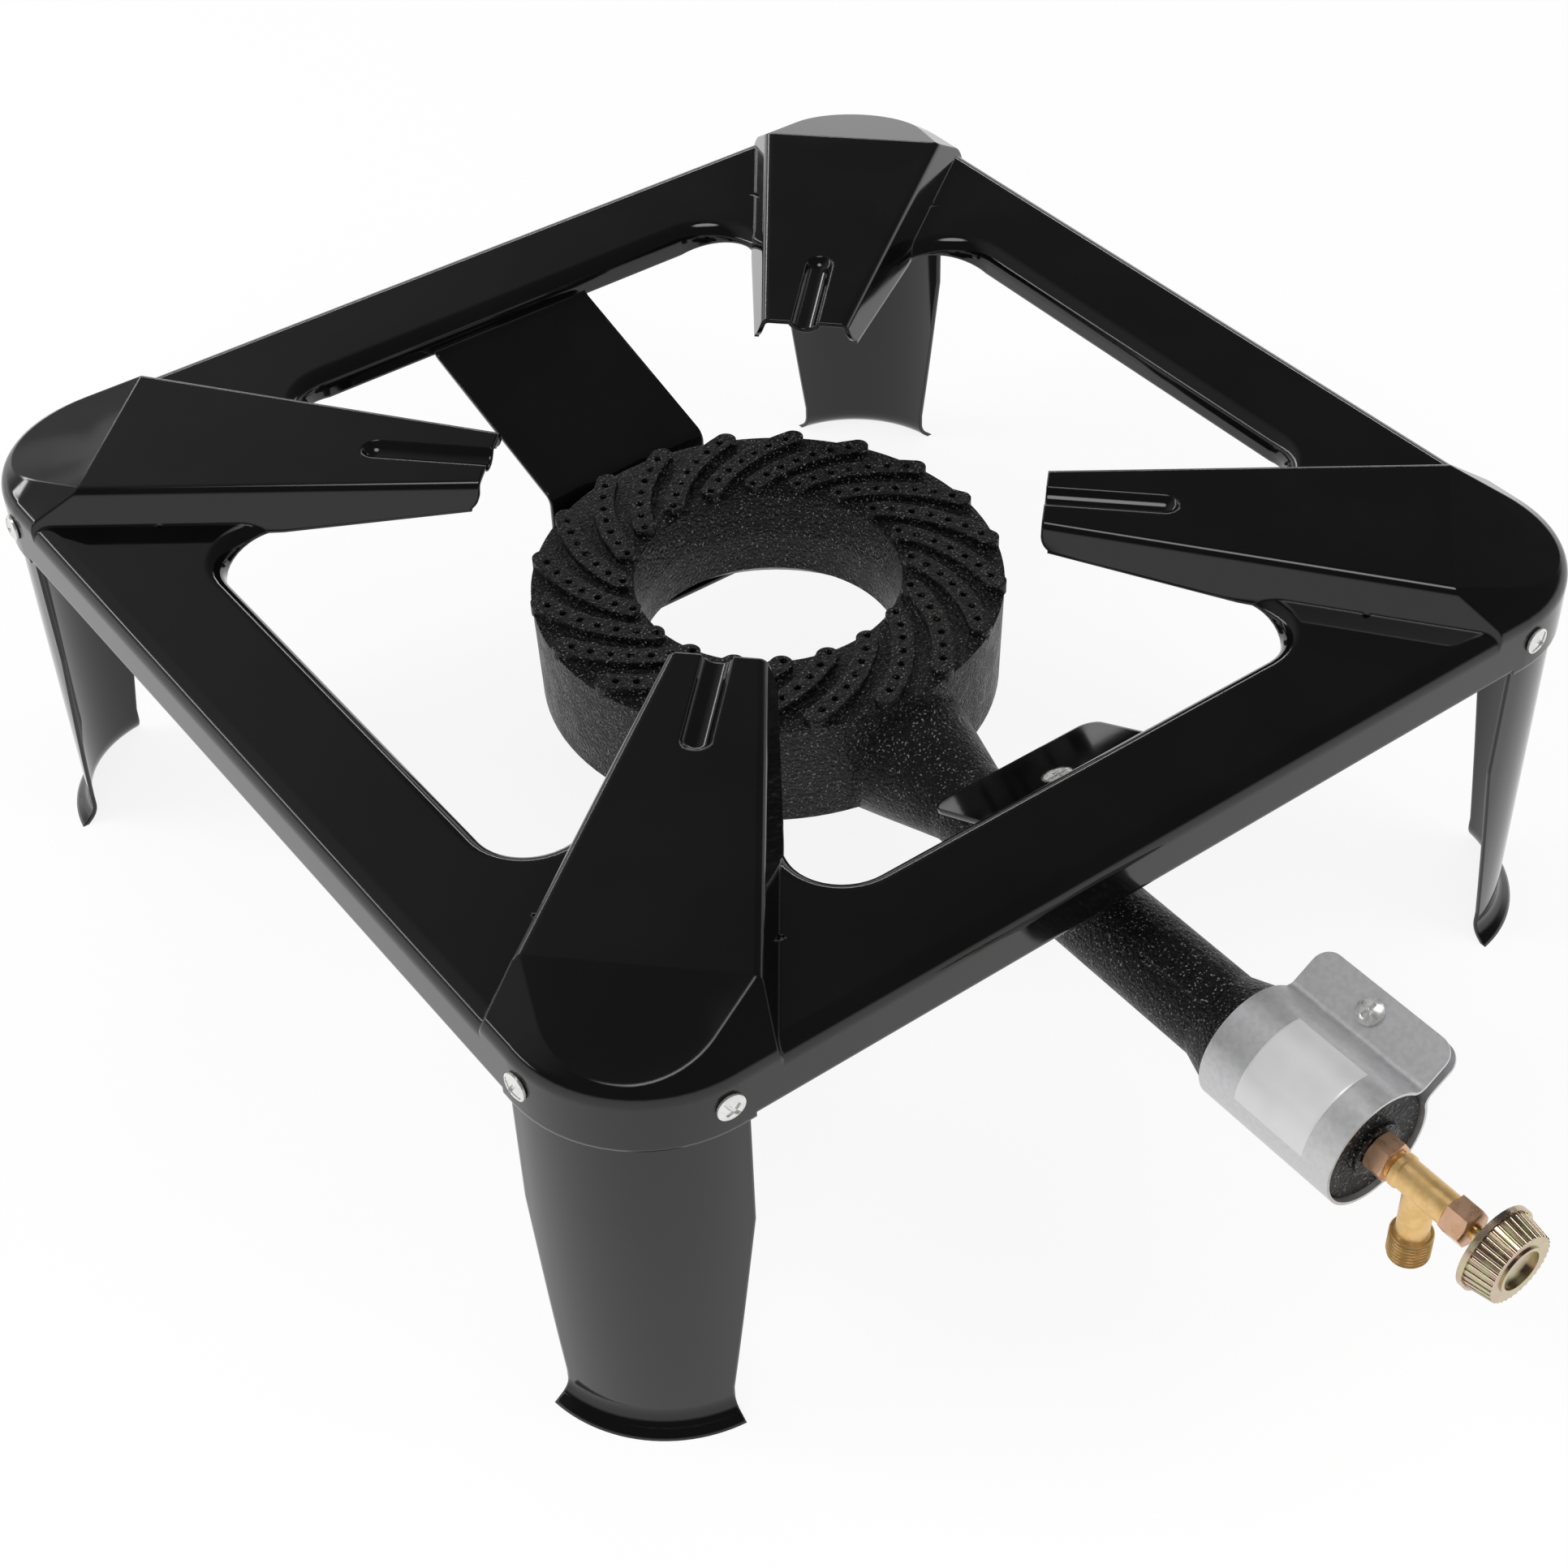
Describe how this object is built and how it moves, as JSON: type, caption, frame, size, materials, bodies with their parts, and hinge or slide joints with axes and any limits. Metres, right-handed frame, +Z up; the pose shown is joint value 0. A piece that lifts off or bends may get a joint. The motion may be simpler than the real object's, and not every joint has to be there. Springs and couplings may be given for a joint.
{
  "type": "stock pot range",
  "caption": "Stock pot range: black enamelled pressed frame on flared channel legs, cast gas ring burner with curved flame ribs, sliding air shutter and brass needle valve with knob.",
  "frame": {"origin": "on the floor, in the middle of the overall box", "axes": "+Z up, -Y towards the control knob, +X to the right as seen from the knob's side"},
  "size_m": [0.4068, 0.551, 0.162],
  "materials": {
    "black_enamel": "gloss vitreous enamel",
    "cast_black": "rough sand cast, black heat paint",
    "galvanised_sheet": "galvanised",
    "zinc_screws": "bright zinc",
    "brass": "cast and turned",
    "bronze_nuts": "turned, coppery",
    "yellow_zinc": "yellow passivated zinc",
    "packing": "pressed white packing"
  },
  "bodies": {
    "stand": {"top_frame": "black_enamel", "leg_front_left": "black_enamel", "leg_front_right": "black_enamel", "leg_rear_left": "black_enamel", "leg_rear_right": "black_enamel", "leg_screws": "zinc_screws", "leg_nuts": "zinc_screws", "burner_casting": "cast_black", "rear_burner_screw": "zinc_screws", "rear_burner_washer": "zinc_screws", "front_burner_screw": "zinc_screws", "gas_jet": "brass", "lock_nut": "bronze_nuts", "valve_body": "brass", "gland_packing": "packing", "gland_nut": "bronze_nuts"},
    "shutter": {"air_shutter": "galvanised_sheet", "shutter_screw": "zinc_screws", "shutter_nut": "zinc_screws"},
    "knob": {"spindle": "bronze_nuts", "control_knob": "yellow_zinc"}
  },
  "joints": [
    {"name": "knob_turn", "type": "hinge", "parent": "stand", "child": "knob", "pos_m": [0, -0.2681, 0.0932], "axis": [0, -1, 0], "range_deg": [0, 630]},
    {"name": "air_shutter_slide", "type": "slide", "parent": "stand", "child": "shutter", "axis": [0, 1, 0], "range_m": [0, 0.025]}
  ]
}
